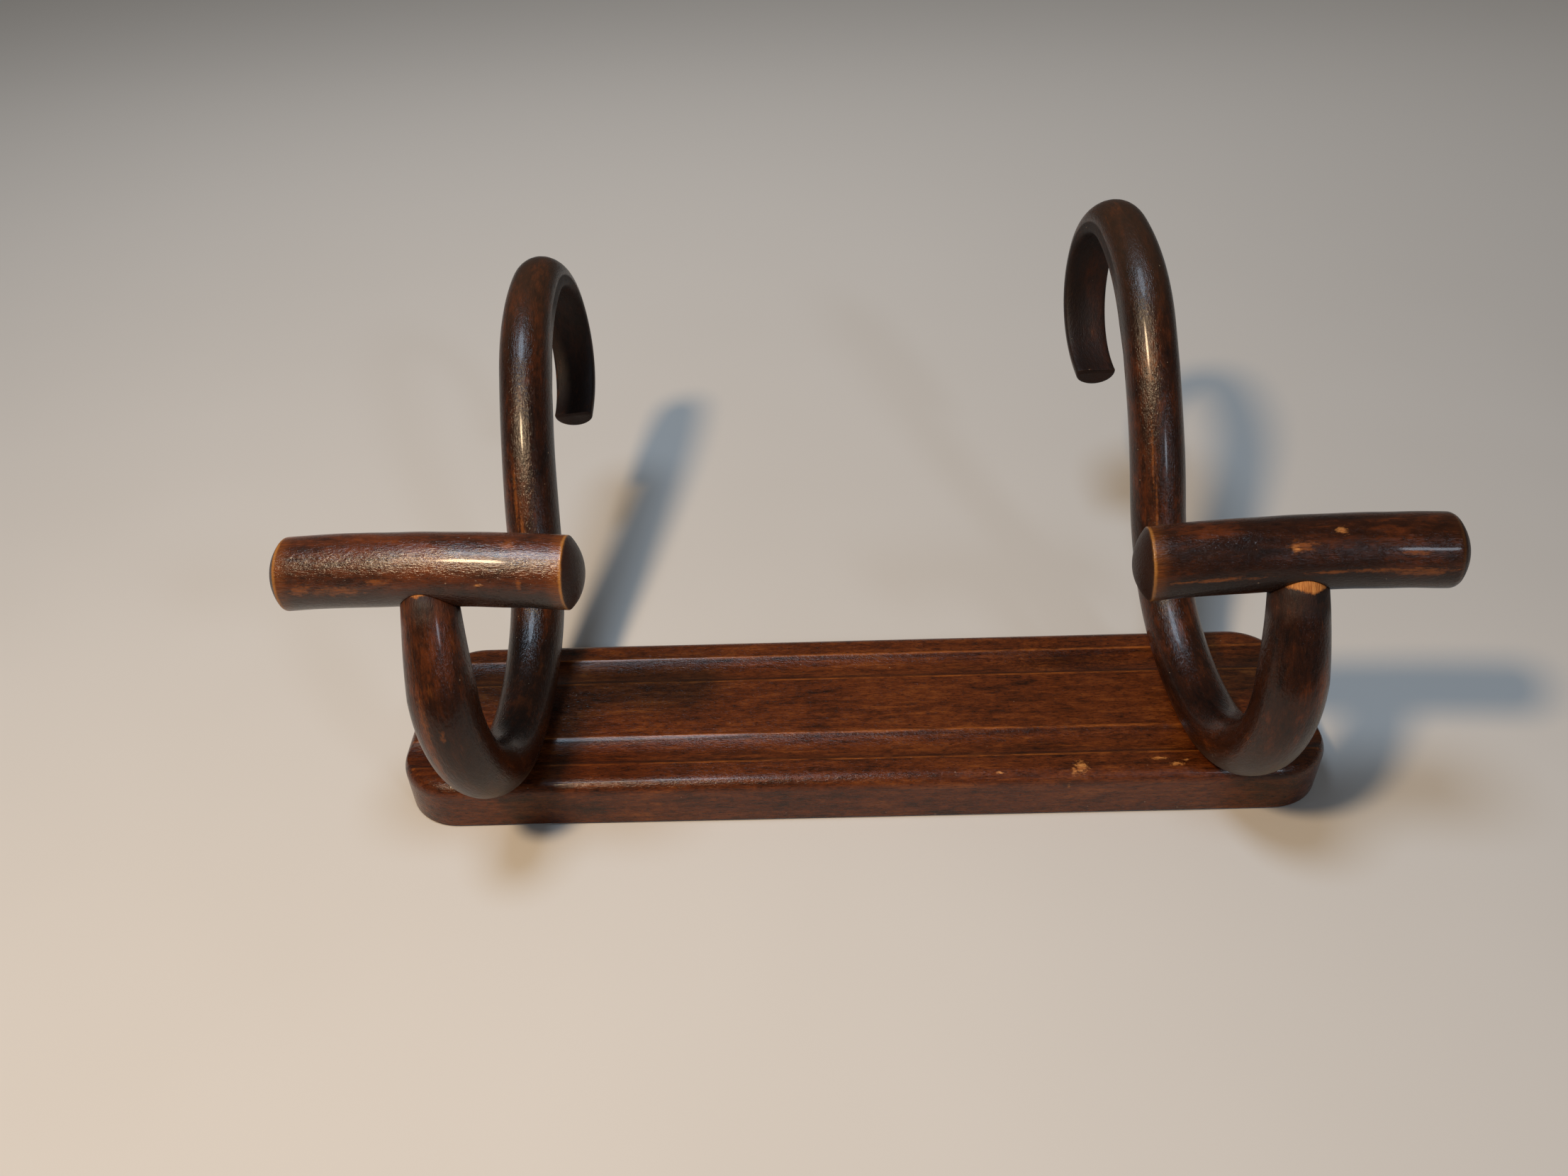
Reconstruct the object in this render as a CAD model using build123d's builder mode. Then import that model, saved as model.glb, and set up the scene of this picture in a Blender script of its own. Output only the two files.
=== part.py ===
"""Bentwood wall rack: a fluted backboard carrying two bent hooks, each with a cross bar on its front end.

Frame: origin at the centre of the board's flat back face, +X along the board, +Y up the wall, +Z out of
the wall. Millimetres and degrees.
"""

from build123d import *
from dataclasses import dataclass
from math import ceil, cos, degrees, radians, sin
import os

# Backboard
board_length = 360.0
board_width = 83.0
board_thickness = 21.0
board_corner_radius = 22.0
board_edge_radius = 5.0
board_back_chamfer = 0.6
flute_centre = 22.6  # from the board's centre line to the middle of each flute
flute_width = 14.6
flute_depth = 1.6

# Hooks
hook_spacing = 267.0  # between the lowest points of the two heels
seat_flat_depth = 1.2

# Bends of the rod: (centre line radius, turn in degrees), both ways from the heel's lowest point.
# How far the arm and the tip turn is each hook's own.
heel_bend = (39.5, 111)
stem_bend = (158, 15.5)
instep_bend = (92, 57.5)
arm_bend_radius = 350
shoulder_bend = (74.5, 36.5)
curl_bend = (25, 87)
tip_bend_radius = 39.5

# Half widths of the rod, from the cross bar to the curled tip
stem_top_radius = 8.8
stem_radius = 11.6
heel_radius = 10.5
instep_radius = 11.0
arm_radius = 10.9
shoulder_radius = 10.2
curl_half_width = 9.9
tip_half_width = 9.1

# Thickness of the flattened stretch, inside and outside the curl's centre line
shoulder_inner = 7.6
curl_inner = 3.4
tip_inner = 2.8
curl_outer = 6.6
tip_outer = 6.0

# Cross bars
bar_length = 95.7  # between the rims of the two domed ends
bar_diameter = 25.0
bar_dome_height = 4.9
bar_rise = 1.8  # the middle stands this much above the ends

# Dowel between a stem and its cross bar
dowel_diameter = 8.0
dowel_in_bar = 11.0
dowel_in_stem = 15.0
dowel_chamfer = 0.8
glue_gap = 0.5

# Countersunk wood screws, board to hook
hook_screw_shank = 4.5
hook_screw_core = 3.2
hook_screw_head = 9.0
hook_screw_slot = 1.2
hook_screw_bite = 13.0
hook_screw_point = 5.0
hook_screw_pitch = 15.0
screw_head_recess = 0.4
screw_tip_width = 0.5
screw_clearance = 0.2
pilot_run_out = 1.0

# Keyhole hanger plates, let in flush
hanger_spacing = 190.0
hanger_raise = 14.0  # plate centre above the board's centre line
plate_height = 40.0
plate_width = 16.0
plate_thickness = 1.8
plate_corner_radius = 7.9
plate_recess = 0.2
plate_clearance = 0.15
keyhole_entry_diameter = 9.0
keyhole_slot_width = 4.6
keyhole_drop = 9.0  # from the top of the slot's run to the entry hole's centre
pocket_depth = 9.0
pocket_margin = 1.5
plate_screw_pitch = 32.0
plate_screw_shank = 2.8
plate_screw_core = 2.0
plate_screw_head = 5.4
plate_screw_slot = 0.8
plate_screw_bite = 9.0
plate_screw_point = 3.0

# Sections of the bent rod lie no further apart than this
station_pitch = 13.0
station_turn = 14.0


@dataclass
class Hook:
    """How one bent rod stands on the board, and its cross bar on it. The rods themselves are alike."""

    name: str
    side: int
    seat_drop: float  # lowest point of the heel, below the board's centre line
    toe_in: float  # its plane turns inwards up the board
    lean: float  # and leans outwards away from it
    rock: float  # the rod is tipped back in its plane
    arm_turn: float
    tip_turn: float
    bar_swing: float
    bar_tilt: float


# Seated and fitted by hand, so the two stand a little differently
left = Hook(
    "left",
    -1,
    seat_drop=25.5,
    toe_in=4.0,
    lean=7.4,
    rock=4.4,
    arm_turn=11.9,
    tip_turn=84.0,
    bar_swing=-2.7,
    bar_tilt=0.6,
)
right = Hook(
    "right",
    1,
    seat_drop=19.5,
    toe_in=8.0,
    lean=3.8,
    rock=-0.9,
    arm_turn=12.5,
    tip_turn=92.0,
    bar_swing=-3.7,
    bar_tilt=4.5,
)

flute_radius = ((flute_width / 2) ** 2 + flute_depth**2) / (2 * flute_depth)
rod_height = heel_radius - seat_flat_depth  # centre line above the board at the heel
hook_screw_length = board_thickness - screw_head_recess + hook_screw_bite
plate_screw_length = plate_thickness + plate_screw_bite


def seat_plane(hook):
    """The hook's own plane: x runs up the board from the heel, y stands off the board."""
    turn = radians(hook.toe_in)
    tilt = radians(hook.lean)
    along = Vector(-hook.side * sin(turn), cos(turn), 0)
    outward = Vector(hook.side * cos(turn), sin(turn), 0)
    up = Vector(0, 0, 1) * cos(tilt) + outward * sin(tilt)
    seat = (hook.side * hook_spacing / 2, -hook.seat_drop, board_thickness + rod_height)
    return Plane(origin=seat, x_dir=along, z_dir=along.cross(up))


def centre_line(hook):
    """Tangent arcs both ways from the heel's lowest point: (front arcs, back arcs)."""
    rock = radians(hook.rock)
    lowest_bend = instep_bend if rock > 0 else heel_bend
    start = (0, lowest_bend[0] * (1 - cos(rock)))
    with BuildLine(seat_plane(hook)):
        heel = JernArc(start, (-cos(rock), sin(rock)), heel_bend[0], -heel_bend[1])
        stem = JernArc(heel @ 1, heel % 1, stem_bend[0], -stem_bend[1])
        instep = JernArc(start, (cos(rock), -sin(rock)), *instep_bend)
        arm = JernArc(instep @ 1, instep % 1, arm_bend_radius, -hook.arm_turn)
        shoulder = JernArc(arm @ 1, arm % 1, shoulder_bend[0], -shoulder_bend[1])
        curl = JernArc(shoulder @ 1, shoulder % 1, curl_bend[0], -curl_bend[1])
        tip = JernArc(curl @ 1, curl % 1, tip_bend_radius, -hook.tip_turn)
    return (stem, heel), (instep, arm, shoulder, curl, tip)


def stations(hook):
    """Places along the rod from bar to tip: (point, direction, half width, inner, outer thickness)."""
    front, back = centre_line(hook)
    sizes = [
        (stem_top_radius, stem_top_radius, stem_top_radius),
        (stem_radius, stem_radius, stem_radius),
        (heel_radius, heel_radius, heel_radius),
        (instep_radius, instep_radius, instep_radius),
        (arm_radius, arm_radius, arm_radius),
        (shoulder_radius, shoulder_inner, shoulder_radius),
        (curl_half_width, curl_inner, curl_outer),
        (tip_half_width, tip_inner, tip_outer),
    ]
    places = []
    for index, arc in enumerate(front + back):
        reverse = index < len(front)
        turn = degrees(arc.length / arc.radius)
        steps = ceil(max(arc.length / station_pitch, turn / station_turn))
        for step in range(steps):
            share = step / steps
            at = 1 - share if reverse else share
            heading = arc % at
            mix = [a + (b - a) * share for a, b in zip(sizes[index], sizes[index + 1])]
            places.append((arc @ at, heading * (-1 if reverse else 1), *mix))
    places.append((back[-1] @ 1, back[-1] % 1, *sizes[-1]))
    return places


def bar_plane(hook):
    """x along the cross bar, y up across it, origin on its axis where the stem's centre line ends."""
    stem_end = centre_line(hook)[0][0] @ 1
    swing = radians(hook.bar_swing)
    tilt = radians(hook.bar_tilt)
    axis = Vector(cos(swing) * cos(tilt), sin(swing) * cos(tilt), sin(tilt))
    front = Vector(0, 0, 1).cross(axis)
    return Plane(origin=stem_end, x_dir=axis, z_dir=-front)


def stem_direction(hook):
    return (centre_line(hook)[0][0] % 1).normalized()


def dowel_plane(hook):
    """On the stem's axis, at the bar's centre, looking back down the stem."""
    along = stem_direction(hook)
    return Plane(origin=bar_plane(hook).origin, x_dir=seat_plane(hook).z_dir, z_dir=-along)


def screw_spots(hook):
    """Two screws in line with the hook, either side of the heel's lowest point."""
    seat = seat_plane(hook)
    middle = hook_screw_pitch / 10
    spots = []
    for step in (-0.5, 0.5):
        spot = seat.origin + seat.x_dir * (middle + step * hook_screw_pitch)
        spots.append((spot.X, spot.Y))
    return spots


def hanger_x(hook):
    return hook.side * hanger_spacing / 2


def backboard():
    with BuildPart() as board:
        with BuildSketch():
            RectangleRounded(board_length, board_width, board_corner_radius)
        extrude(amount=board_thickness)
        fillet(board.faces().sort_by(Axis.Z)[-1].edges(), board_edge_radius)
        chamfer(board.faces().sort_by(Axis.Z)[0].edges(), board_back_chamfer)
        with BuildSketch(Plane.YZ.offset(-board_length / 2)):
            with Locations(
                (-flute_centre, board_thickness + flute_radius - flute_depth),
                (flute_centre, board_thickness + flute_radius - flute_depth),
            ):
                Circle(flute_radius)
        extrude(amount=board_length, mode=Mode.SUBTRACT)
        for hook in (left, right):
            for x, y in screw_spots(hook):
                with Locations(Plane(origin=(x, y, 0), z_dir=(0, 0, -1))):
                    CounterSinkHole(
                        hook_screw_shank / 2 + screw_clearance,
                        hook_screw_head / 2 + screw_head_recess,
                        board_thickness,
                    )
            with BuildSketch():
                with Locations((hanger_x(hook), hanger_raise)):
                    RectangleRounded(
                        plate_width + 2 * plate_clearance,
                        plate_height + 2 * plate_clearance,
                        plate_corner_radius + plate_clearance,
                    )
            extrude(amount=plate_thickness + plate_recess, mode=Mode.SUBTRACT)
            with BuildSketch(Plane.XY.offset(plate_thickness + plate_recess)):
                with Locations((hanger_x(hook), hanger_raise)):
                    SlotCenterToCenter(
                        keyhole_drop,
                        keyhole_entry_diameter + 2 * pocket_margin,
                        rotation=90,
                    )
            extrude(amount=pocket_depth, mode=Mode.SUBTRACT)
            with BuildSketch(Plane.XY.offset(plate_thickness + plate_recess)):
                with Locations((hanger_x(hook), hanger_raise)):
                    with GridLocations(0, plate_screw_pitch, 1, 2):
                        Circle(plate_screw_core / 2)
            extrude(amount=plate_screw_bite + pilot_run_out, mode=Mode.SUBTRACT)
    return board


def plain_bar(hook):
    """The cross bar before it is bored: a slightly arched round bar with domed ends."""
    plane = bar_plane(hook)
    radius = bar_diameter / 2
    dome_radius = (radius**2 + bar_dome_height**2) / (2 * bar_dome_height)
    with BuildPart() as bar:
        with BuildLine(plane) as axis:
            ThreePointArc((-bar_length / 2, -bar_rise), (0, 0), (bar_length / 2, -bar_rise))
        with BuildSketch(Plane(origin=axis.line @ 0, z_dir=axis.line % 0)):
            Circle(radius)
        sweep(path=axis.wire())
        for end, way in ((0, -1), (1, 1)):
            outward = (axis.line % end) * way
            with BuildSketch(Plane(origin=axis.line @ end, x_dir=outward, z_dir=plane.z_dir)):
                with BuildLine():
                    foot = Line((0, 0), (0, radius))
                    RadiusArc(foot @ 1, (bar_dome_height, 0), dome_radius)
                    Line((bar_dome_height, 0), (0, 0))
                make_face()
            revolve(axis=Axis(axis.line @ end, outward))
    return bar


def cross_bar(hook):
    with BuildPart() as bar:
        add(plain_bar(hook).part)
        with BuildSketch(dowel_plane(hook).offset(bar_diameter / 2 - dowel_in_bar - glue_gap)):
            Circle(dowel_diameter / 2)
        extrude(amount=bar_diameter, mode=Mode.SUBTRACT)
    return bar


def dowel(hook):
    with BuildPart() as pin:
        with BuildSketch(dowel_plane(hook).offset(bar_diameter / 2 - dowel_in_bar)):
            Circle(dowel_diameter / 2)
        extrude(amount=dowel_in_bar + dowel_in_stem)
        chamfer(pin.edges(), dowel_chamfer)
    return pin


def bent_hook(hook):
    across = seat_plane(hook).z_dir
    with BuildPart() as rod:
        for point, heading, half_width, inner, outer in stations(hook):
            with BuildSketch(Plane(origin=point, x_dir=across, z_dir=heading)):
                with BuildLine():
                    EllipticalCenterArc((0, 0), half_width, inner, 0, arc_size=180)
                    EllipticalCenterArc((0, 0), half_width, outer, 180, arc_size=180)
                make_face()
        loft()
        split(bisect_by=Plane.XY.offset(board_thickness), keep=Keep.TOP)
        add(plain_bar(hook).part, mode=Mode.SUBTRACT)
        with BuildSketch(dowel_plane(hook)):
            Circle(dowel_diameter / 2)
        extrude(amount=bar_diameter / 2 + dowel_in_stem + glue_gap, mode=Mode.SUBTRACT)
        with BuildSketch(Plane.XY.offset(board_thickness)):
            with Locations(*screw_spots(hook)):
                Circle(hook_screw_core / 2)
        extrude(amount=hook_screw_bite + pilot_run_out, mode=Mode.SUBTRACT)
    return rod


def wood_screw(length, shank_length, shank, core, head, slot, point):
    """A slotted countersunk screw standing on its head, its thread drawn at its core."""
    sink = (head - shank) / 2
    with BuildPart() as screw:
        with BuildSketch(Plane.XZ):
            Polygon(
                (0, 0),
                (head / 2, 0),
                (shank / 2, sink),
                (shank / 2, shank_length),
                (core / 2, shank_length),
                (core / 2, length - point),
                (screw_tip_width / 2, length),
                (0, length),
                align=None,
            )
        revolve(axis=Axis.Z)
        with BuildSketch():
            Rectangle(head, slot)
        extrude(amount=sink / 2, mode=Mode.SUBTRACT)
    return screw


def hook_screws(hook):
    screw = wood_screw(
        hook_screw_length,
        board_thickness - screw_head_recess,
        hook_screw_shank,
        hook_screw_core,
        hook_screw_head,
        hook_screw_slot,
        hook_screw_point,
    )
    with BuildPart() as pair:
        for x, y in screw_spots(hook):
            with Locations((x, y, screw_head_recess)):
                add(screw.part)
    return pair


def hanger_plate(hook):
    with BuildPart() as plate:
        with BuildSketch(Plane.XY.offset(plate_recess)):
            with Locations((hanger_x(hook), hanger_raise)):
                RectangleRounded(plate_width, plate_height, plate_corner_radius)
                SlotCenterToCenter(keyhole_drop, keyhole_slot_width, rotation=90, mode=Mode.SUBTRACT)
            with Locations((hanger_x(hook), hanger_raise - keyhole_drop / 2)):
                Circle(keyhole_entry_diameter / 2, mode=Mode.SUBTRACT)
        extrude(amount=plate_thickness)
        with Locations(Plane(origin=(hanger_x(hook), hanger_raise, plate_recess), z_dir=(0, 0, -1))):
            with GridLocations(0, plate_screw_pitch, 1, 2):
                CounterSinkHole(plate_screw_shank / 2, plate_screw_head / 2, plate_thickness)
    return plate


def hanger_screws(hook):
    screw = wood_screw(
        plate_screw_length,
        plate_thickness,
        plate_screw_shank,
        plate_screw_core,
        plate_screw_head,
        plate_screw_slot,
        plate_screw_point,
    )
    with BuildPart() as pair:
        with Locations((hanger_x(hook), hanger_raise, plate_recess)):
            with GridLocations(0, plate_screw_pitch, 1, 2):
                add(screw.part)
    return pair


def save(name, piece):
    piece.part.label = name
    export_step(piece.part, f"parts/{name}.step")


os.makedirs("parts", exist_ok=True)
save("backboard", backboard())
for hook in (left, right):
    save(f"{hook.name}_hook", bent_hook(hook))
    save(f"{hook.name}_cross_bar", cross_bar(hook))
    save(f"{hook.name}_cross_bar_dowel", dowel(hook))
    save(f"{hook.name}_hook_screws", hook_screws(hook))
    save(f"{hook.name}_hanger_plate", hanger_plate(hook))
    save(f"{hook.name}_hanger_screws", hanger_screws(hook))
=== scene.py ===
"""Looks of the bentwood wall rack: bent rods, turned cross bars, a stained board and its hardware.

Metres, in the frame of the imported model: +X along the board, +Y up the wall, +Z out of it.
"""

from math import atan2, ceil, cos, pi, radians, sin, sqrt

import bmesh
import bpy
from mathutils import Matrix, Vector, noise


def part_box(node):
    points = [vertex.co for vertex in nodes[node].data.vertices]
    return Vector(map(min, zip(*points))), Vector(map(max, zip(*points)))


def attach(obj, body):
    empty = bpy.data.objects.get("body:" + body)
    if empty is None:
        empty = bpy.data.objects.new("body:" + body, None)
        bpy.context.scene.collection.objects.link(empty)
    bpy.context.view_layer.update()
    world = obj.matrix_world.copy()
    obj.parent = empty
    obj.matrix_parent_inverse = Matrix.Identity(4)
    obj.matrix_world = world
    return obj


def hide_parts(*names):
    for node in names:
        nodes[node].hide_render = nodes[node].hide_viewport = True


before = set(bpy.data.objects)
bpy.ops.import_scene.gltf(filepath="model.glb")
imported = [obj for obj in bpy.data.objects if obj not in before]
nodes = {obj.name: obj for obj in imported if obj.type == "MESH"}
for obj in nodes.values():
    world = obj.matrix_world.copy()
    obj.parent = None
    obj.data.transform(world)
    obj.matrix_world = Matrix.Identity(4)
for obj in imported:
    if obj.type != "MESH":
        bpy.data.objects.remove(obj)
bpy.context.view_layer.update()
board_low, board_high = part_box("backboard")
board_top = board_high.z


# ---------------------------------------------------------------- mixing finishes


class Reading:
    """A shader socket that Python's operators work on."""

    def __init__(self, mix, socket):
        self.mix = mix
        self.socket = socket

    def math(self, operation, *values):
        return self.mix.node("Math", dict(enumerate(values)), operation=operation)

    def __add__(self, other):
        return self.math("ADD", self, other)

    def __sub__(self, other):
        return self.math("SUBTRACT", self, other)

    def __mul__(self, other):
        return self.math("MULTIPLY", self, other)

    def __rsub__(self, other):
        return self.math("SUBTRACT", other, self)

    def __neg__(self):
        return self.math("MULTIPLY", self, -1.0)

    def __abs__(self):
        return self.math("ABSOLUTE", self)

    __radd__ = __add__
    __rmul__ = __mul__

    def above(self, low, high):
        """0 below low, 1 above high, eased between them. High may be the smaller."""
        values = {0: self, 1: low, 2: high, 3: 0.0, 4: 1.0}
        return self.mix.node("MapRange", values, interpolation_type="SMOOTHSTEP")

    def most(self, other):
        return self.math("MAXIMUM", self, other)


class Finish:
    """One material in the making."""

    def __init__(self, name):
        self.material = bpy.data.materials.new(name)
        self.material.use_nodes = True
        self.tree = self.material.node_tree
        self.tree.nodes.clear()

    def node(self, kind, values=None, output=0, **settings):
        """Adds a shader node: its settings first, then the values or links of its sockets."""
        made = self.tree.nodes.new("ShaderNode" + kind)
        stops = settings.pop("stops", None)
        for setting, value in settings.items():
            setattr(made, setting, value)
        if stops:
            ramp = made.color_ramp.elements
            while len(ramp) < len(stops):
                ramp.new(1.0)
            for element, (place, colour) in zip(ramp, stops):
                element.position = place
                element.color = (*colour, 1.0)
        for key, value in (values or {}).items():
            socket = made.inputs[key]
            if isinstance(value, Reading):
                self.tree.links.new(value.socket, socket)
            elif isinstance(value, (tuple, Vector)) and socket.type == "RGBA":
                socket.default_value = (*value, 1.0)
            else:
                socket.default_value = value
        return Reading(self, made.outputs[output]) if made.outputs else None

    def blend(self, share, low, high, way="MIX"):
        values = {0: share, 6: low, 7: high}
        return self.node("Mix", values, output=2, data_type="RGBA", blend_type=way)

    def stretch(self, place, scale, shift=(0.0, 0.0, 0.0)):
        return self.node("Mapping", {"Vector": place, "Location": shift, "Scale": scale})

    def noise(self, place, scale=1.0, detail=4.0, roughness=0.55, distortion=0.0):
        values = {"Vector": place, "Scale": scale, "Detail": detail}
        values |= {"Roughness": roughness, "Distortion": distortion}
        return self.node("TexNoise", values)

    def parts_of(self, place):
        split = self.node("SeparateXYZ", {0: place}).socket.node
        return [Reading(self, part) for part in split.outputs]

    def surface(self, **values):
        """Principled shader. A socket's name is written with underscores for its spaces."""
        values = {key.replace("_", " "): value for key, value in values.items()}
        shader = self.node("BsdfPrincipled", values)
        self.node("OutputMaterial", {"Surface": shader})
        return self.material


# ---------------------------------------------------------------- the bent rods

MM = 0.001
HOOK_SPACING = 267 * MM
SEAT_FLAT_DEPTH = 1.2 * MM
STEM_BEND = (158 * MM, radians(15.5))
HEEL_BEND = (39.5 * MM, radians(111))
INSTEP_BEND = (92 * MM, radians(57.5))
ARM_BEND_RADIUS = 350 * MM
SHOULDER_BEND = (74.5 * MM, radians(36.5))
CURL_BEND = (25 * MM, radians(87))
TIP_BEND_RADIUS = 39.5 * MM
HEEL_RADIUS = 10.5 * MM

# Half width, and thickness to the inside and outside of the curl, where each bend begins and ends
SECTIONS = [
    (8.8, 8.8, 8.8),
    (11.6, 11.6, 11.6),
    (HEEL_RADIUS / MM,) * 3,
    (11.0, 11.0, 11.0),
    (10.9, 10.9, 10.9),
    (10.2, 7.6, 10.2),
    (9.9, 3.4, 6.6),
    (9.1, 2.8, 6.0),
]

FLUTE_CENTRE = 22.6 * MM
FLUTE_WIDTH = 14.6 * MM

# Marks left by use, as (centre, reach) in millimetres: the board's in the model's frame, a rod's or
# a bar's in its own straight frame
CHIPS = [
    ((83, -36.8, 20), (2.6, 3.0, 4)),
    ((80, -38.5, 20), (1.2, 1.5, 4)),
    ((113, -33.4, 21), (3.2, 0.8, 3)),
    ((119, -36.5, 21), (2.8, 1.0, 3)),
    ((123, -34.6, 21), (1.3, 0.6, 3)),
    ((52, -38.5, 20), (1.6, 0.5, 3)),
    ((78, -42.0, 14), (0.6, 2.0, 3)),
]
SPILLS = [
    ((88, 25, 20), (30, 8, 6)),
    ((-1, 41, 17), (3.0, 3.0, 6)),
    ((-128, 0, 21), (18, 16, 4)),
    ((150, -34, 20), (12, 6, 4)),
]
LEFT_ROD_SCUFFS = [
    ((-3, 10, 47), (1.6, 3, 8)),
    ((-4, 10, 63), (1.5, 3, 10)),
    ((2, 10, 52), (1.0, 3, 2.5)),
    ((-3, -10, 228), (0.9, 4, 14)),
    ((-1, -10, 215), (1.0, 4, 11)),
]
RIGHT_ROD_SCUFFS = [
    ((5, 9, 44), (1.2, 3, 7)),
    ((6, 8, 66), (1.2, 3, 5)),
    ((-9, 2, 66), (2.0, 3, 2.2)),
    ((-5, -9, 205), (0.5, 4, 26)),
    ((-6, -9, 232), (0.5, 4, 16)),
    ((-5, -8, 268), (2.6, 4, 8)),
]
LEFT_BAR_SCUFFS = [
    ((30, -2, 12.3), (3.4, 2, 2)),
    ((-39, -12.3, 2.2), (4.0, 2, 2.2)),
    ((-26, -12, 1.0), (9, 3, 2.0)),
    ((-12, -11.8, 4.0), (5, 3, 1.2)),
    ((34, -12, 3.4), (1.0, 3, 2.2)),
]
LEFT_BAR_NICKS = [((20.5, -12, 2.9), (1.5, 2, 0.5))]
RIGHT_BAR_SCUFFS = [
    ((30, -12.2, 1.4), (20, 3, 0.9)),
    ((36, -12.3, 0.2), (9, 3, 1.4)),
    ((8, -12.4, 1.2), (9, 3, 0.7)),
    ((-28, -12.3, 0.6), (15, 3, 0.8)),
    ((-2, -8.5, 9.0), (4.5, 3, 1.6)),
    ((33, -10.3, 6.8), (5, 3, 0.8)),
]
RIGHT_BAR_NICKS = [((11, -4.2, 11.6), (1.8, 1.4, 1.4)), ((-4, -8.7, 8.6), (1.6, 2, 0.8))]

BAR_LENGTH = 95.7 * MM
BAR_RADIUS = 12.5 * MM
BAR_DOME = 4.9 * MM
BAR_RISE = 1.8 * MM
# How round the rims are, at the left and right ends of each bar
RIM_ROUNDS = {"left": (0.8 * MM, 0.7 * MM), "right": (0.7 * MM, 3.6 * MM)}
DOME_STEPS = 10
RIM_STEPS = 6
BODY_STEPS = 44

ROD_SIDES = 72
RING_STEP = 2.6 * MM
# Over this run of the rod its inner face turns flat and slightly hollow
FLAT_FROM = 275 * MM
FLAT_FULL = 345 * MM
FLAT_SQUARENESS = 2.2
DISH = 0.7 * MM
# Rings nearer than this to the bar's axis give way to the cope that fits the bar
STEM_COPE = 13.2 * MM
CREASE = 0.35 * MM
CREASE_TUCK = 0.965
GLUE_BITE = 0.05 * MM
COPE_RINGS = (0.75, 0.6, 0.4)
TIP_LIP = 0.5 * MM
TIP_RIM = 0.95
TIP_RINGS = (0.86, 0.8, 0.7, 0.5, 0.3)
TIP_HOLLOW_REACH = 7 * MM


class Hook:
    """How one bent rod stands on the board, and its cross bar on it.

    Drop is how far the heel sits below the board's centre line, in millimetres. The rest are angles
    in degrees: the rod's toe-in, lean and rock, the turns of its arm and tip, and the bar's swing
    and tilt.
    """

    def __init__(self, side, drop, toe_in, lean, rock, arm_turn, tip_turn, swing, tilt):
        self.side = side
        self.rock = radians(rock)
        self.arm_turn = radians(arm_turn)
        self.tip_turn = radians(tip_turn)
        toe, lean = radians(toe_in), radians(lean)
        along = Vector((-side * sin(toe), cos(toe), 0))
        outward = Vector((side * cos(toe), sin(toe), 0))
        up = Vector((0, 0, cos(lean))) + outward * sin(lean)
        across = along.cross(up)
        up = across.cross(along)
        height = board_top + HEEL_RADIUS - SEAT_FLAT_DEPTH
        self.seat = matrix_of(along, up, across, Vector((side * HOOK_SPACING / 2, -drop * MM, height)))
        swing, tilt = radians(swing), radians(tilt)
        self.bar_axis = Vector((cos(swing) * cos(tilt), sin(swing) * cos(tilt), sin(tilt)))


def matrix_of(x, y, z, origin):
    turned = Matrix((x.normalized(), y.normalized(), z.normalized())).transposed()
    return Matrix.Translation(origin) @ turned.to_4x4()


HOOKS = {
    "left": Hook(
        side=-1,
        drop=25.5,
        toe_in=4.0,
        lean=7.4,
        rock=4.4,
        arm_turn=11.9,
        tip_turn=84.0,
        swing=-2.7,
        tilt=0.6,
    ),
    "right": Hook(
        side=1,
        drop=19.5,
        toe_in=8.0,
        lean=3.8,
        rock=-0.9,
        arm_turn=12.5,
        tip_turn=92.0,
        swing=-3.7,
        tilt=4.5,
    ),
}


def chain(hook):
    """The rod's bends in its own plane, from the bar to the tip.

    Each is where it starts, its heading there, its radius and its turn.
    """
    bends = [
        (STEM_BEND[0], STEM_BEND[1]),
        (HEEL_BEND[0], HEEL_BEND[1]),
        (INSTEP_BEND[0], INSTEP_BEND[1]),
        (ARM_BEND_RADIUS, -hook.arm_turn),
        (SHOULDER_BEND[0], -SHOULDER_BEND[1]),
        (CURL_BEND[0], -CURL_BEND[1]),
        (TIP_BEND_RADIUS, -hook.tip_turn),
    ]
    lowest = bends[2][0] if hook.rock > 0 else bends[1][0]
    place = Vector((0, lowest * (1 - cos(hook.rock)), 0))
    heading = -hook.rock
    for radius, turn in reversed(bends[:2]):
        place = place + side_step(radius, turn, heading) - side_step(radius, turn, heading - turn)
        heading -= turn
    arcs = []
    for radius, turn in bends:
        arcs.append((place, heading, radius, turn))
        place = place + side_step(radius, turn, heading) - side_step(radius, turn, heading + turn)
        heading += turn
    return arcs


def side_step(radius, turn, heading):
    """From a point of a bend to its centre."""
    return Vector((-sin(heading), cos(heading), 0)) * radius * (1 if turn > 0 else -1)


def tagged_mesh():
    """An empty bmesh. Its points carry their place in the unbent piece and a mark for end grain."""
    bm = bmesh.new()
    straight = bm.verts.layers.float_vector.new("straight")
    end_grain = bm.verts.layers.float.new("end_grain")
    return bm, straight, end_grain


def finished(bm, name, material):
    bmesh.ops.recalc_face_normals(bm, faces=bm.faces)
    for face in bm.faces:
        face.smooth = True
    mesh = bpy.data.meshes.new(name)
    bm.to_mesh(mesh)
    bm.free()
    mesh.materials.append(material)
    piece = bpy.data.objects.new(name, mesh)
    bpy.context.scene.collection.objects.link(piece)
    return piece


def verts_of(geometry):
    return [item for item in geometry if isinstance(item, bmesh.types.BMVert)]


def edges_of(geometry):
    return [item for item in geometry if isinstance(item, bmesh.types.BMEdge)]


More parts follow.
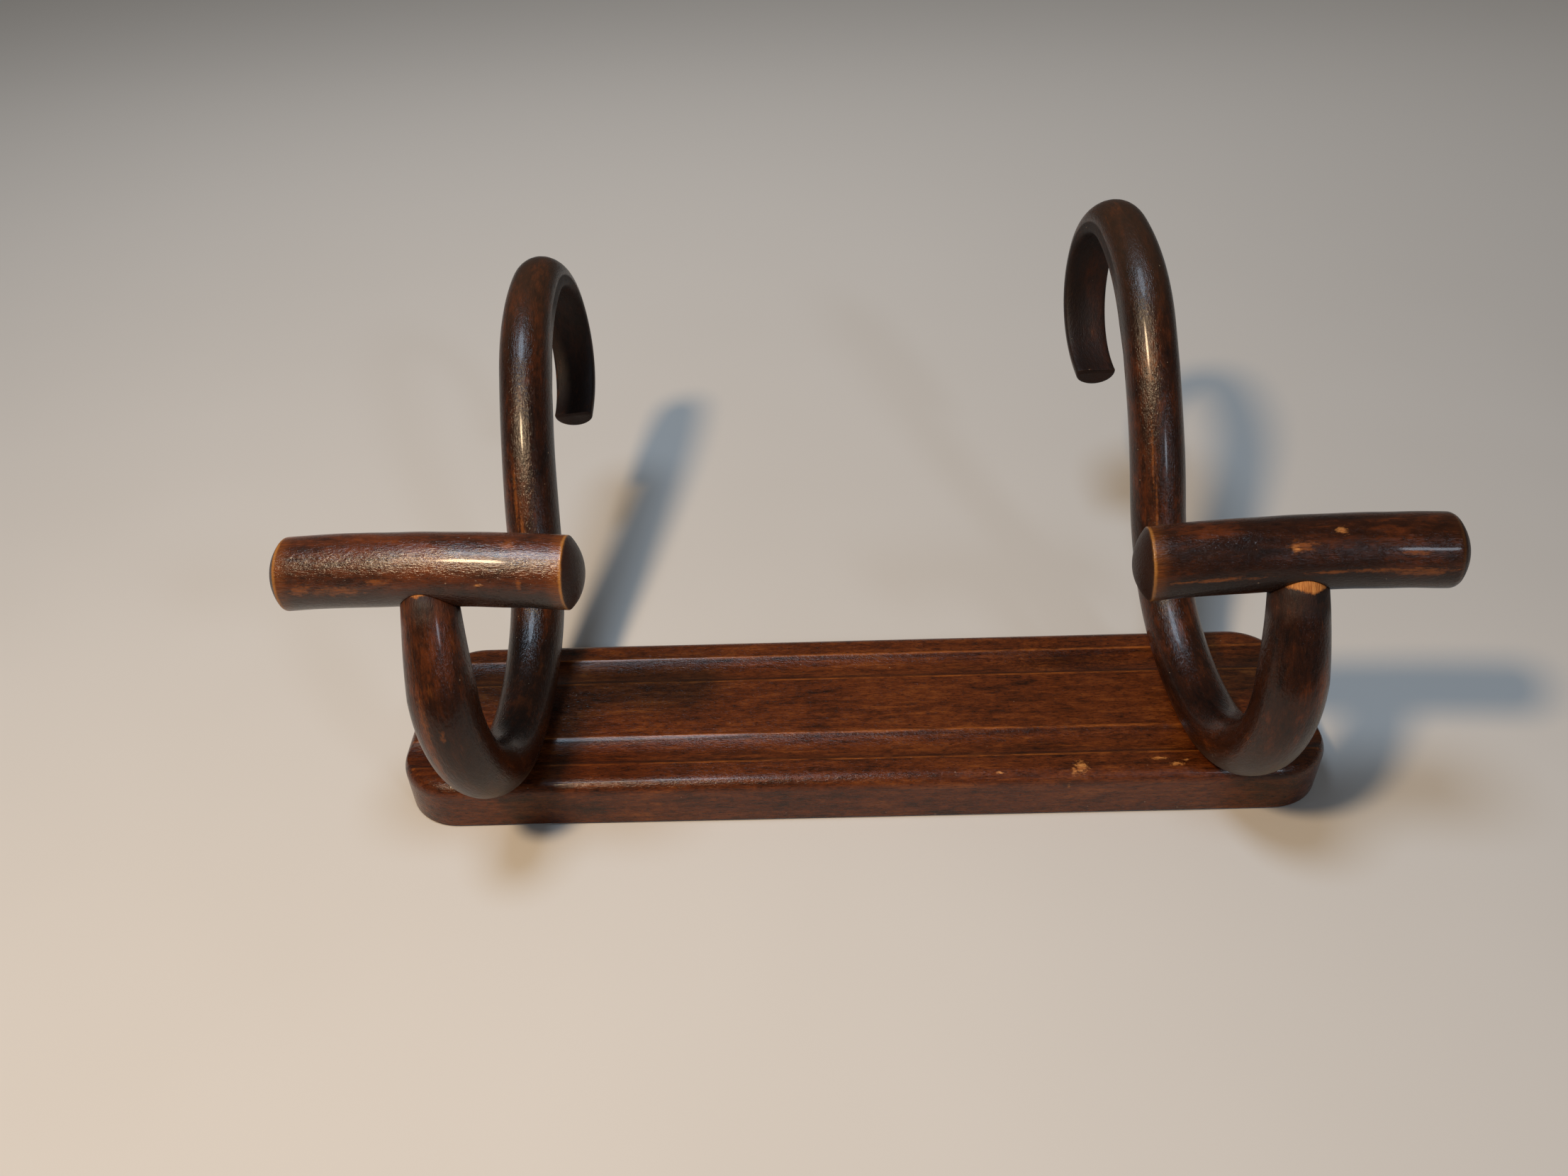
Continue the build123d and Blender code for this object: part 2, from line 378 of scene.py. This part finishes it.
def resize(bm, verts, place, was, now):
    """Scales a ring, whose inner and outer halves are two half ellipses."""
    to_ring = place.inverted()
    inner = [v for v in verts if (to_ring @ v.co).y >= 0]
    outer = [v for v in verts if (to_ring @ v.co).y < 0]
    for half, depth in ((inner, 1), (outer, 2)):
        scale = (now[0] / was[0], now[depth] / was[depth], 1)
        bmesh.ops.scale(bm, vec=scale, space=to_ring, verts=half)


def flatten(verts, place, size, share):
    """Squares off the inner half of a ring, towards a flat face between two tight edges."""
    to_ring = place.inverted()
    power = 2 + FLAT_SQUARENESS * share
    for v in verts:
        local = to_ring @ v.co
        if local.y >= 0:
            reach = min(abs(local.x) / size[0], 1.0)
            local.y = size[1] * (1 - reach**power) ** (1 / power) - DISH * share * (1 - reach**2)
            v.co = place @ local


def ring_place(spot, heading):
    """x across the rod, y towards the inside of the curl, z along the rod."""
    along = Vector((cos(heading), sin(heading), 0))
    across = Vector((0, 0, 1))
    return matrix_of(across, along.cross(across), along, spot)


def rod_rings(bm, hook, straight, first_turn):
    """Spins the rod's section through every bend.

    Returns its first ring, its last ring, the last ring's place and the rod's length.
    """
    travelled = 0.0
    ring = None
    for index, (spot, heading, radius, turn) in enumerate(chain(hook)):
        centre = spot + side_step(radius, turn, heading)
        start = first_turn if index == 0 else 0.0
        steps = ceil(abs(turn - start) * radius / RING_STEP)
        for step in range(steps + 1):
            turned = start + (turn - start) * step / steps
            place = ring_place(centre - side_step(radius, turn, heading + turned), heading + turned)
            share = turned / turn
            ends = zip(SECTIONS[index], SECTIONS[index + 1])
            now = [(begin + (end - begin) * share) * MM for begin, end in ends]
            if ring is None:
                made = bmesh.ops.create_circle(bm, segments=ROD_SIDES, radius=1, matrix=place)
                ring = made["verts"] + list({e for v in made["verts"] for e in v.link_edges})
                first = ring
                resize(bm, made["verts"], place, (1, 1, 1), now)
            elif step:
                spun = bmesh.ops.spin(
                    bm,
                    geom=ring,
                    cent=centre,
                    axis=(0, 0, 1),
                    angle=(turn - start) / steps,
                    steps=1,
                )
                ring = spun["geom_last"]
                resize(bm, verts_of(ring), place, was, now)
            gone = travelled + abs(turned) * radius
            flat = min(max((gone - FLAT_FROM) / (FLAT_FULL - FLAT_FROM), 0.0), 1.0)
            if flat > 0:
                flatten(verts_of(ring), place, now, flat)
            to_ring = place.inverted()
            for v in verts_of(ring):
                local = to_ring @ v.co
                v[straight] = (local.x, local.y, gone)
            was = now
        travelled += abs(turn) * radius
    return first, ring, place, travelled


def hand_worked(verts, straight, depth, pitch_along, pitch_round):
    """Slight unevenness left by the spokeshave and by years of use."""
    for v in verts:
        x, y, z = v[straight]
        spot = Vector((x / pitch_round, y / pitch_round, z / pitch_along))
        v.co += v.normal * depth * noise.noise(spot)


def slide_to_bar(hook, bar_centre, spot, way, gap):
    """Where a point that moves along way meets the cross bar's surface, gap outside it."""
    offset = spot - bar_centre
    offset -= hook.bar_axis * offset.dot(hook.bar_axis)
    step = way - hook.bar_axis * way.dot(hook.bar_axis)
    reach = BAR_RADIUS + gap
    a, b, c = step.dot(step), offset.dot(step), offset.dot(offset) - reach * reach
    return spot + way * ((-b - sqrt(b * b - a * c)) / a)


def next_ring(bm, ring_edges):
    """Extrudes an open end in place. Returns the new ring's points and edges."""
    made = bmesh.ops.extrude_edge_only(bm, edges=ring_edges)["geom"]
    verts = verts_of(made)
    return verts, [e for e in edges_of(made) if all(v in verts for v in e.verts)]


def shrink(bm, verts, scale, middle):
    bmesh.ops.scale(bm, vec=(scale,) * 3, space=Matrix.Translation(-middle), verts=verts)


def close_with(bm, ring_edges, scales, middle):
    """Closes an open end with rings that shrink towards its middle. Returns every new point."""
    new = []
    for scale in scales:
        verts, ring_edges = next_ring(bm, ring_edges)
        shrink(bm, verts, scale, middle)
        new += verts
    bmesh.ops.contextual_create(bm, geom=ring_edges)
    return new


def close_tip(bm, last, tip, length, straight, end_grain):
    """Closes the rod's free end with an eased rim round a slightly hollow sawn face."""
    lip = tip.to_3x3().col[2] * TIP_LIP
    middle = tip.translation + lip
    rim, rim_edges = next_ring(bm, edges_of(last))
    bmesh.ops.translate(bm, vec=lip, verts=rim)
    shrink(bm, rim, TIP_RIM, middle)
    face = close_with(bm, rim_edges, TIP_RINGS, middle)
    for v in face:
        v.co -= lip * max(0, 1 - (v.co - middle).length / TIP_HOLLOW_REACH)
    to_tip = tip.inverted()
    for v in rim + face:
        v[end_grain] = 1.0
        local = to_tip @ v.co
        v[straight] = (local.x, local.y, length + local.z)


def cope_stem(bm, hook, first, straight):
    """Carries the stem's open end to the bar's round side, with a fine crease, and closes it.

    Returns the middle of the bar, where its axis crosses the stem's.
    """
    start, heading, _, _ = chain(hook)[0]
    bar_centre = hook.seat @ start
    way = -(hook.seat.to_3x3() @ Vector((cos(heading), sin(heading), 0)))
    open_edges = edges_of(first)
    for gap, scale in ((CREASE, 1.0), (-GLUE_BITE, CREASE_TUCK)):
        verts, open_edges = next_ring(bm, open_edges)
        middle = sum((v.co for v in verts), Vector()) / len(verts)
        shrink(bm, verts, scale, middle)
        for v in verts:
            v.co = slide_to_bar(hook, bar_centre, v.co, way, gap)
            v[straight].z = (v.co - bar_centre).dot(-way)
    for v in close_with(bm, open_edges, COPE_RINGS, middle):
        v.co = slide_to_bar(hook, bar_centre, v.co, way, -GLUE_BITE)
    return bar_centre


def bent_rod(name, hook, material):
    """One hook, sat on the board. Returns it with the middle of its cross bar."""
    bm, straight, end_grain = tagged_mesh()
    first, last, tip, length = rod_rings(bm, hook, straight, STEM_COPE / STEM_BEND[0])
    bm.normal_update()
    hand_worked(bm.verts, straight, depth=0.22 * MM, pitch_along=34 * MM, pitch_round=11 * MM)
    close_tip(bm, last, tip, length, straight, end_grain)
    bmesh.ops.transform(bm, matrix=hook.seat, verts=bm.verts)
    bar_centre = cope_stem(bm, hook, first, straight)
    seat_cut = bmesh.ops.bisect_plane(
        bm,
        geom=bm.verts[:] + bm.edges[:] + bm.faces[:],
        plane_co=(0, 0, board_top),
        plane_no=(0, 0, 1),
        clear_inner=True,
    )
    bmesh.ops.contextual_create(bm, geom=edges_of(seat_cut["geom_cut"]))
    return finished(bm, name, material), bar_centre


# ---------------------------------------------------------------- the cross bars


def domed_end(rim_round):
    """Outline of one end, from the middle of its dome round the rim to the side."""
    dome_radius = (BAR_RADIUS**2 + BAR_DOME**2) / (2 * BAR_DOME)
    dome_middle = BAR_LENGTH / 2 + BAR_DOME - dome_radius
    corner_r = BAR_RADIUS - rim_round
    reach = sqrt((dome_radius - rim_round) ** 2 - corner_r**2)
    corner_x = dome_middle + reach
    spread = atan2(corner_r, reach)
    outline = []
    for step in range(DOME_STEPS + 1):
        angle = spread * step / DOME_STEPS
        outline.append((dome_middle + dome_radius * cos(angle), dome_radius * sin(angle)))
    for step in range(1, RIM_STEPS + 1):
        angle = spread + (pi / 2 - spread) * step / RIM_STEPS
        outline.append((corner_x + rim_round * cos(angle), corner_r + rim_round * sin(angle)))
    return outline


def bar_outline(rim_rounds):
    """Half outline of a cross bar, from the middle of its right end to the middle of its left."""
    left, right = [domed_end(rim_round) for rim_round in rim_rounds]
    start, stop = right[-1][0], -left[-1][0]
    places = [start + (stop - start) * step / BODY_STEPS for step in range(1, BODY_STEPS)]
    return right + [(x, BAR_RADIUS) for x in places] + [(-x, r) for x, r in reversed(left)]


def cross_bar(name, hook, centre, material, rim_rounds):
    """A turned bar with domed ends, arched a little, with centre at its middle."""
    bm, straight, end_grain = tagged_mesh()
    outline = [bm.verts.new((x, r, 0)) for x, r in bar_outline(rim_rounds)]
    edges = [bm.edges.new(pair) for pair in zip(outline, outline[1:])]
    bmesh.ops.spin(
        bm,
        geom=outline + edges,
        cent=(0, 0, 0),
        axis=(1, 0, 0),
        angle=2 * pi,
        steps=ROD_SIDES,
        use_merge=True,
    )
    bmesh.ops.remove_doubles(bm, verts=bm.verts, dist=0.01 * MM)
    for v in bm.verts:
        v[straight] = v.co
        v[end_grain] = 1.0 if abs(v.co.x) > BAR_LENGTH / 2 else 0.0
    bm.normal_update()
    hand_worked(bm.verts, straight, depth=0.18 * MM, pitch_along=11 * MM, pitch_round=11 * MM)
    for v in bm.verts:
        v.co.z -= BAR_RISE * (2 * v.co.x / BAR_LENGTH) ** 2
    front = Vector((0, 0, 1)).cross(hook.bar_axis)
    place = matrix_of(hook.bar_axis, front, hook.bar_axis.cross(front), centre)
    bmesh.ops.transform(bm, matrix=place, verts=bm.verts)
    return finished(bm, name, material)


# ---------------------------------------------------------------- finishes


NIGHT_BROWN = (0.0065, 0.0021, 0.0011)
DARK_BROWN = (0.027, 0.0074, 0.0022)
RED_BROWN = (0.105, 0.0240, 0.0050)
WARM_BROWN = (0.205, 0.059, 0.0120)
WORN_ORANGE = (0.33, 0.096, 0.0140)
RIM_AMBER = (0.47, 0.205, 0.045)
BARE_BEECH = (0.66, 0.30, 0.085)
DUSTY_BROWN = (0.064, 0.038, 0.021)
PALE_SPECK = (0.34, 0.25, 0.17)
STAIN = [(0.20, NIGHT_BROWN), (0.42, DARK_BROWN), (0.66, RED_BROWN), (0.94, WARM_BROWN)]

# Sizes of the wood's patterns, along the grain and across it
CLOUD = (40 * MM, 18 * MM)
STREAK = (19 * MM, 2.6 * MM)
FIBRE = (5.2 * MM, 0.42 * MM)
FLECK = (1.9 * MM, 0.36 * MM)
BLOTCH = (6.5 * MM, 3.6 * MM)
MOTTLE = (4.2 * MM, 2.0 * MM)
PORES = (1.0 * MM, 0.6 * MM)
CRACKLE = (2.6 * MM, 1.2 * MM)
SPECKS = (8.5 * MM, 8.5 * MM)
SPECK_REACH = (0.040, 0.022)
PORE_DEPTH = 0.26 * MM
CRACKLE_DEPTH = 0.31 * MM
RELIEF_STRENGTH = 0.60

SHELLAC_ROUGH = 0.17
COAT_WEIGHT = 0.16
COAT_ROUGH = 0.10
BARE_ROUGHENING = 0.3
# What each dull mask adds to the roughness
ROUGHENING = {"matte": 0.34, "dusty": 0.24, "cut": 0.18}


def stained_beech(name, place, lengthways, seed, tone, figure, cloudy, gloss, wear_and_shade):
    """Dark stained beech under old shellac. Lengthways is the axis of place that the grain follows.

    Tone is how light the stain is, figure how strongly the grain shows, cloudy how uneven the stain
    is, and gloss how bright the shellac. The last argument is a function of the wood, its place and
    its patterns that gives masks by name: worn, bare and dark, and where the piece has them rim,
    dusty, cut and matte. The dark mask is painted shade on the rods and bars, and old spills with
    painted shade on the board.
    """
    wood = Finish(name)
    spot = place(wood)

    def along(length, width):
        """Draws the pattern out along the grain, to these sizes."""
        scales = [1 / width] * 3
        scales[lengthways] = 1 / length
        return wood.stretch(spot, tuple(scales), shift=(seed, seed * 1.7, seed * 0.6))

    cloud = wood.noise(along(*CLOUD), detail=4.0, roughness=0.6, distortion=0.6)
    streak = wood.noise(along(*STREAK), detail=5.0, roughness=0.62, distortion=0.3)
    fibre = wood.noise(along(*FIBRE), detail=4.0, roughness=0.7)
    fleck = wood.noise(along(*FLECK), detail=2.0, roughness=0.5)
    blotch = wood.noise(along(*BLOTCH), detail=5.0, roughness=0.7).above(0.56, 0.70)
    mottle = wood.noise(along(*MOTTLE), detail=5.0, roughness=0.65, distortion=0.4)
    masks = wear_and_shade(wood, spot, along)

    grain = (streak * 0.6 + fibre * 0.5 - 0.55) * figure
    depth = grain + (cloud - 0.5) * cloudy + (mottle - 0.5) * 0.55 + tone
    base = wood.node("ValToRGB", {"Fac": depth}, stops=STAIN)
    base = wood.blend(fleck.above(0.55, 0.67) * (0.62 * figure), base, NIGHT_BROWN)
    base = wood.blend(blotch * 0.5, base, DARK_BROWN)
    glow = streak.above(0.52, 0.72) * cloud.above(0.44, 0.66) * fibre.above(0.35, 0.6)
    base = wood.blend(glow * (0.26 * figure), base, WORN_ORANGE)
    # Painted shade: the dark mask darkens the wood towards night brown; on the board it also holds old
    # spills.
    base = wood.blend(masks["dark"] * 0.8, base, NIGHT_BROWN)
    base = wood.blend(masks["worn"] * (0.30 + fibre.above(0.30, 0.62) * 0.70), base, WORN_ORANGE)
    if "rim" in masks:
        base = wood.blend(masks["rim"], base, RIM_AMBER)
    if "dusty" in masks:
        base = wood.blend(masks["dusty"] * 0.6, base, DUSTY_BROWN)
    if "cut" in masks:
        base = wood.blend(masks["cut"] * 0.9, base, wood.blend(fibre, NIGHT_BROWN, DARK_BROWN))
    raw = wood.blend(fibre.above(0.35, 0.65), WORN_ORANGE, BARE_BEECH)
    base = wood.blend(masks["bare"], base, raw)
    speck = wood.node("TexVoronoi", {"Vector": along(*SPECKS), "Scale": 1.0})
    base = wood.blend(speck.above(*SPECK_REACH) * 0.55, base, PALE_SPECK)

    dull = masks["bare"]
    rough = SHELLAC_ROUGH + fibre * 0.12 + blotch * 0.16
    rough = rough + masks["worn"] * 0.06 + masks["bare"] * BARE_ROUGHENING
    for kind, roughening in ROUGHENING.items():
        if kind in masks:
            rough = rough + masks[kind] * roughening
            dull = dull.most(masks[kind])

    relief = fibre * 0.5 + fleck * 0.8 + wood.noise(along(*PORES), detail=2.0) * 0.7
    relief = {"Height": relief, "Strength": RELIEF_STRENGTH, "Distance": PORE_DEPTH}
    crackle = wood.noise(along(*CRACKLE), detail=3.0, roughness=0.6)
    crackle = {"Height": crackle, "Strength": RELIEF_STRENGTH, "Distance": CRACKLE_DEPTH}
    crackle["Normal"] = wood.node("Bump", relief)
    return wood.surface(
        Base_Color=base,
        Roughness=rough,
        Normal=wood.node("Bump", crackle),
        Coat_Weight=(1 - dull) * COAT_WEIGHT,
        Coat_Roughness=COAT_ROUGH,
        Specular_IOR_Level=gloss,
    )


def dabs(wood, spot, places, ragged):
    """A mask of soft dabs, as (centre, reach) in mm, with edges broken up by ragged."""
    mask = None
    for centre, reach in places:
        near = wood.node("VectorMath", {0: spot, 1: Vector(centre) * MM}, operation="SUBTRACT")
        near = wood.node("VectorMath", {0: near, 1: Vector(reach) * MM}, operation="DIVIDE")
        near = wood.node("VectorMath", {0: near}, output=1, operation="LENGTH")
        near = (near * 0.75 + ragged * 2.4).above(2.10, 1.35)
        mask = near if mask is None else mask.most(near)
    return mask


def object_place(mix):
    return mix.node("TexCoord", output=3)


def straight_place(mix):
    return mix.node("Attribute", output=1, attribute_name="straight")


def end_mark(mix):
    return mix.node("Attribute", output=2, attribute_name="end_grain")


def board_wear_and_shade(wood, spot, along):
    """Flutes' arrises rubbed through to lighter wood, chips near the front edge, old spills, and
    painted shade: a thin dark line just inside each flute, along its edges.
    """
    x, y, z = wood.parts_of(spot)
    ragged = wood.noise(along(16 * MM, 1.4 * MM), detail=4.0, roughness=0.7)
    grit = wood.noise(along(1.4 * MM, 0.9 * MM), detail=4.0, roughness=0.7)
    below = board_top - z
    past_flute = abs(abs(y) - FLUTE_CENTRE) - FLUTE_WIDTH / 2
    arris = abs(past_flute).above(0.8 * MM, 0.1 * MM) * below.above(1.2 * MM, 0.6 * MM)
    # Painted shade: a thin, broken dark line just inside each flute, along its edges.
    flute_edge_shade = abs(past_flute + 1.6 * MM).above(1.2 * MM, 0.3 * MM) * ragged.above(0.30, 0.50)
    edge = below.above(3.2 * MM, 1.8 * MM) * below.above(0.0, 1.0 * MM)
    worn = arris * ragged.above(0.34, 0.60) * 0.85
    worn = worn.most(edge * ragged.above(0.56, 0.70) * 0.30)
    top = below.above(7 * MM, 5 * MM)
    to_end = board_high.x - abs(x)
    ends = to_end.above(30 * MM, 4 * MM)
    spills = dabs(wood, spot, SPILLS, grit).most(ends * ragged.above(0.35, 0.6) * 0.6)
    # The dark mask: old spills, and the painted shade inside the flutes.
    dark = (spills * 0.75).most(flute_edge_shade * 0.6)
    return {"worn": worn, "bare": dabs(wood, spot, CHIPS, grit) * top * 0.8, "dark": dark}


def rod_wear_and_shade(scuffs, shoulder_height):
    """Worn streaks, dusty undersides of the heels, a dark cut end, bare wood at the shoulder, and
    painted shade on the inner face of the curl.

    The shoulder is the stem's end under the bar, at this distance from the bar's axis.
    """

    def masks(wood, spot, along):
        x, y, z = wood.parts_of(spot)
        ragged = wood.noise(along(10 * MM, 2.2 * MM), detail=4.0, roughness=0.7)
        patch = wood.noise(along(26 * MM, 12 * MM), detail=3.0, roughness=0.6)
        grit = wood.noise(along(1.6 * MM, 1.2 * MM), detail=4.0, roughness=0.7)
        streaks = ragged.above(0.56, 0.74) * patch.above(0.48, 0.62) * 0.26
        outside = y.above(1 * MM, 8 * MM)
        heel = z.above(50 * MM, 85 * MM) * z.above(150 * MM, 120 * MM)
        curl_top = z.above(272 * MM, 320 * MM) * (-y).above(-2 * MM, 6 * MM)
        curl_inside = z.above(295 * MM, 320 * MM) * y.above(-0.5 * MM, 0.5 * MM)
        past_shoulder = z + abs(x) * 0.25 + grit * (2 * MM) - shoulder_height
        shoulder = past_shoulder.above(1.6 * MM, 0.6 * MM) * outside
        stem_end = (z - shoulder_height).above(10 * MM, 4 * MM)
        return {
            "worn": streaks.most(dabs(wood, spot, scuffs, grit) * 0.4).most(shoulder),
            "bare": shoulder * 0.55,
            "dusty": (outside * heel).most(curl_top * 0.55) * (0.5 + patch * 0.6),
            # Painted shade: the inner face of the curl is darkened.
            "dark": curl_inside * 0.9,
            "matte": curl_inside.most(stem_end),
            "cut": end_mark(wood),
        }

    return masks


def bar_wear_and_shade(scuffs, nicks, left_rim, right_rim):
    """The rims of both ends rubbed down to lighter wood, scuffs along the bar, and painted shade
    that darkens the bar's lower half.
    """

    def masks(wood, spot, along):
        x, _, z = wood.parts_of(spot)
        ragged = wood.noise(along(3.0 * MM, 3.0 * MM), detail=4.0, roughness=0.65)
        grit = wood.noise(along(2.6 * MM, 1.1 * MM), detail=4.0, roughness=0.7)
        past_rim = abs(x) + ragged * (0.8 * MM) - (BAR_LENGTH / 2 + 0.1 * MM)
        rubbing = left_rim + (right_rim - left_rim) * x.above(-1 * MM, 1 * MM)
        rim = abs(past_rim).above(0.9 * MM, 0.1 * MM) * rubbing
        glow = past_rim.above(-6.0 * MM, 0.2 * MM) * past_rim.above(0.6 * MM, 0.0) * rubbing
        return {
            "worn": (glow * 0.4).most(dabs(wood, spot, scuffs, grit) * 0.5),
            "rim": rim * (0.25 + ragged * 0.6),
            "bare": dabs(wood, spot, nicks, grit) * 0.7,
            # Painted shade: the lower half of the bar is darkened towards night brown.
            "dark": z.above(6 * MM, -3 * MM) * 0.9,
            "dusty": z.above(-2 * MM, -11 * MM) * 0.25,
            "cut": (end_mark(wood) - rim).most(0.0),
        }

    return masks


def metal(name, colour, rough, tarnish, seed):
    """Old steel or brass with tarnish, fine scratches and dirt in the low places."""
    mix = Finish(name)
    spot = object_place(mix)
    cloud = mix.noise(mix.stretch(spot, (160.0,) * 3, (seed,) * 3), detail=6.0, roughness=0.65)
    scratch = mix.noise(mix.stretch(spot, (380.0, 5200.0, 380.0)), detail=3.0, roughness=0.6)
    pits = mix.noise(mix.stretch(spot, (1900.0,) * 3), detail=2.0).above(0.62, 0.74)
    dull = cloud.above(0.42, 0.66).most(pits * 0.8)
    relief = {"Height": scratch * 0.4 - pits, "Strength": 0.3, "Distance": 0.1 * MM}
    return mix.surface(
        Base_Color=mix.blend(dull, colour, tarnish),
        Metallic=1 - dull * 0.5,
        Roughness=rough + dull * 0.35 + scratch * 0.08,
        Normal=mix.node("Bump", relief),
    )


def unstained_beech():
    mix = Finish("raw_beech")
    grain = mix.noise(mix.stretch(object_place(mix), (900.0, 900.0, 90.0)), detail=4.0)
    base = mix.blend(grain, (0.55, 0.32, 0.16), (0.68, 0.45, 0.26))
    return mix.surface(Base_Color=base, Roughness=0.7)


def floor_cloth():
    """Pale matt floor, a little uneven, with painted light that makes it paler towards the back."""
    mix = Finish("pale_floor")
    spot = object_place(mix)
    soft = mix.noise(mix.stretch(spot, (3.0,) * 3), detail=3.0)
    base = mix.blend(soft, (0.56, 0.535, 0.505), (0.64, 0.62, 0.60))
    # Painted light: the floor's colour turns paler towards the back, standing in for more light there.
    base = mix.blend(mix.parts_of(spot)[1].above(0.05, 0.95), base, (0.98, 0.93, 0.87))
    return mix.surface(Base_Color=base, Roughness=0.95, Specular_IOR_Level=0.1)


# ---------------------------------------------------------------- the pieces


def board_stain():
    return stained_beech(
        "board_stain",
        object_place,
        lengthways=0,
        seed=3.0,
        tone=0.63,
        figure=1.1,
        cloudy=0.45,
        gloss=0.27,
        wear_and_shade=board_wear_and_shade,
    )


def rod_stain(side, seed, tone, scuffs, shoulder_height):
    return stained_beech(
        f"{side}_rod_stain",
        straight_place,
        lengthways=2,
        seed=seed,
        tone=tone,
        figure=0.45,
        cloudy=0.9,
        gloss=0.30,
        wear_and_shade=rod_wear_and_shade(scuffs, shoulder_height),
    )


def bar_stain(side, seed, tone, gloss, wear_and_shade):
    return stained_beech(
        f"{side}_bar_stain",
        straight_place,
        lengthways=0,
        seed=seed,
        tone=tone,
        figure=0.45,
        cloudy=0.8,
        gloss=gloss,
        wear_and_shade=wear_and_shade,
    )


def dress(node, finish):
    data = nodes[node].data
    data.materials.clear()
    data.materials.append(finish)


left_rims = {"left_rim": 0.85, "right_rim": 1.0}
right_rims = {"left_rim": 0.85, "right_rim": 0.1}
left_bar_wear_and_shade = bar_wear_and_shade(LEFT_BAR_SCUFFS, LEFT_BAR_NICKS, **left_rims)
right_bar_wear_and_shade = bar_wear_and_shade(RIGHT_BAR_SCUFFS, RIGHT_BAR_NICKS, **right_rims)
rod_finishes = {
    "left": rod_stain("left", 11.0, 0.41, LEFT_ROD_SCUFFS, 9.6 * MM),
    "right": rod_stain("right", 37.0, 0.38, RIGHT_ROD_SCUFFS, 12.4 * MM),
}
bar_finishes = {
    "left": bar_stain("left", 23.0, 0.57, 0.52, left_bar_wear_and_shade),
    "right": bar_stain("right", 51.0, 0.40, 0.27, right_bar_wear_and_shade),
}
raw_beech = unstained_beech()
steel = metal("screw_steel", (0.36, 0.34, 0.32), 0.36, tarnish=(0.07, 0.045, 0.032), seed=2.0)
brass = metal("plate_brass", (0.68, 0.46, 0.19), 0.30, tarnish=(0.16, 0.095, 0.045), seed=7.0)

dress("backboard", board_stain())
for side, hook in HOOKS.items():
    dress(f"{side}_cross_bar_dowel", raw_beech)
    dress(f"{side}_hook_screws", steel)
    dress(f"{side}_hanger_screws", brass)
    dress(f"{side}_hanger_plate", brass)
    rod, bar_centre = bent_rod(f"{side}_bent_rod", hook, rod_finishes[side])
    bar = cross_bar(f"{side}_round_bar", hook, bar_centre, bar_finishes[side], RIM_ROUNDS[side])
    for piece, node, slot in (
        (rod, f"{side}_hook", "rod_wood"),
        (bar, f"{side}_cross_bar", "bar_wood"),
    ):
        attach(piece, "root")
        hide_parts(node)


# ---------------------------------------------------------------- floor, light and camera


FLOOR_HALF_SIZE = 4.0
FLOOR_GAP = 0.4 * MM
LIT_POINT = (0, 0.03, 0.06)
CAMERA_PLACE = (-0.0191, -0.3581, 0.3722)
CAMERA_YAW = radians(1.43)
CAMERA_PITCH = radians(39.0)
CAMERA_ROLL = radians(2.39)
CAMERA_LENS = 28.33
SENSOR_WIDTH = 36.0
ROOM_COLOUR = (1.0, 0.96, 0.90, 1)
ROOM_STRENGTH = 0.09


def put_in_scene(name, data):
    made = bpy.data.objects.new(name, data)
    bpy.context.scene.collection.objects.link(made)
    return made


def floor():
    bm = bmesh.new()
    bmesh.ops.create_grid(bm, x_segments=1, y_segments=1, size=FLOOR_HALF_SIZE)
    bmesh.ops.translate(bm, vec=(0, 0, board_low.z - FLOOR_GAP), verts=bm.verts)
    mesh = bpy.data.meshes.new("floor")
    bm.to_mesh(mesh)
    bm.free()
    mesh.materials.append(floor_cloth())
    put_in_scene("floor", mesh)


def lamp(name, spot, size, power, colour):
    light = bpy.data.lights.new(name, "AREA")
    light.shape = "DISK"
    light.size = size
    light.energy = power
    light.color = colour
    holder = put_in_scene(name, light)
    holder.location = spot
    holder.rotation_euler = (Vector(LIT_POINT) - Vector(spot)).to_track_quat("-Z", "Y").to_euler()


def camera():
    forward = Vector((-sin(CAMERA_YAW), cos(CAMERA_YAW), 0)) * cos(CAMERA_PITCH)
    forward.z = -sin(CAMERA_PITCH)
    level = Vector((cos(CAMERA_YAW), sin(CAMERA_YAW), 0))
    right = level * cos(CAMERA_ROLL) - level.cross(forward) * sin(CAMERA_ROLL)
    data = bpy.data.cameras.new("camera")
    data.sensor_width = SENSOR_WIDTH
    data.lens = CAMERA_LENS
    data.clip_start = 10 * MM
    holder = put_in_scene("camera", data)
    holder.matrix_world = matrix_of(right, right.cross(forward), -forward, Vector(CAMERA_PLACE))
    bpy.context.scene.camera = holder


def room():
    world = bpy.data.worlds.new("room")
    world.use_nodes = True
    background = world.node_tree.nodes["Background"].inputs
    background["Color"].default_value = ROOM_COLOUR
    background["Strength"].default_value = ROOM_STRENGTH
    bpy.context.scene.world = world


floor()
camera()
lamp("warm_lamp", (-0.36, -0.39, 0.83), size=0.12, power=6.6, colour=(1.0, 0.73, 0.45))
lamp("cool_window", (-0.32, -0.10, 1.35), size=0.42, power=8.0, colour=(0.64, 0.81, 1.0))
lamp("right_window", (0.60, -0.92, 0.84), size=0.16, power=1.8, colour=(0.74, 0.86, 1.0))
room()
bpy.context.scene.view_settings.view_transform = "Standard"
